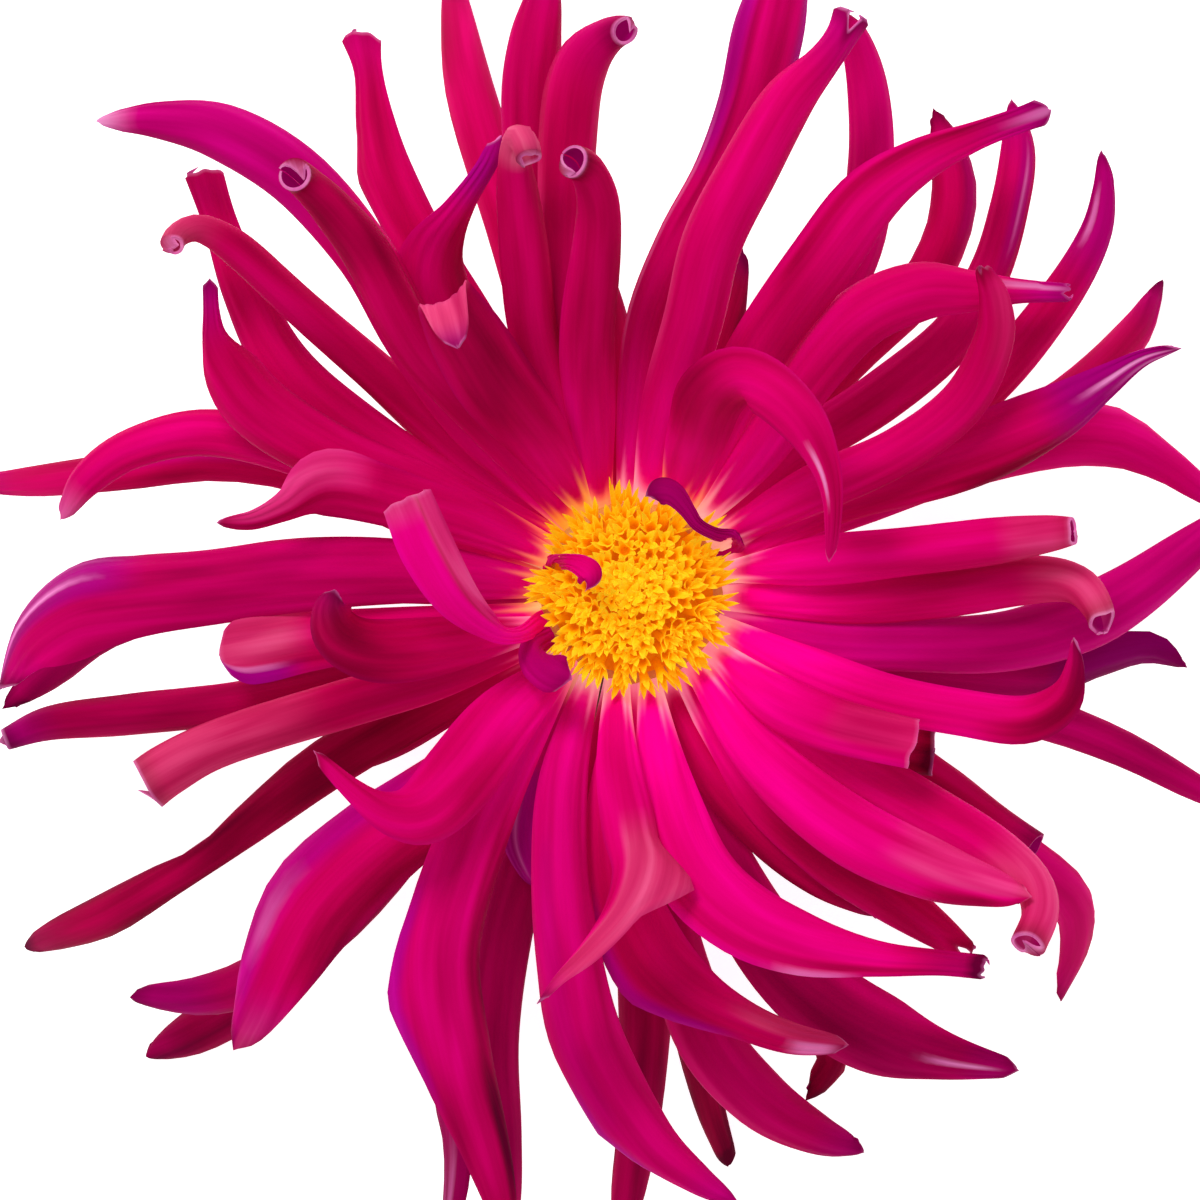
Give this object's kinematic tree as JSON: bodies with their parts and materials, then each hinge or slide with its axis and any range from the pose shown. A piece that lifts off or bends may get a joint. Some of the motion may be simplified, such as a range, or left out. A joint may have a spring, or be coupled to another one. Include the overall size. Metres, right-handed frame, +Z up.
{
  "type": "cactus dahlia bloom",
  "caption": "Open cut flower head lying face up: long ray petals rolled back into spikes round a yellow floret disc, with green bracts and a short cut stem.",
  "frame": {"origin": "middle of the bounding box, on the surface that the bloom lies on", "axes": "+Z up, out of the face of the bloom; +Y towards the top of the bloom as the picture shows it; +X to its right"},
  "size_m": [0.187, 0.19, 0.088],
  "materials": {
    "petal": "fresh magenta dahlia petal, softly satin, finely veined lengthwise, violet on the back",
    "floret": "matt golden yellow disc floret, dusted with pollen",
    "bract": "satin green leafy bract",
    "stem": "satin green stem, pale and moist at the cut"
  },
  "bodies": {
    "root": {"ray_petals": "petal", "disc_florets": "floret", "bracts": "bract", "stem": "stem"}
  },
  "joints": []
}
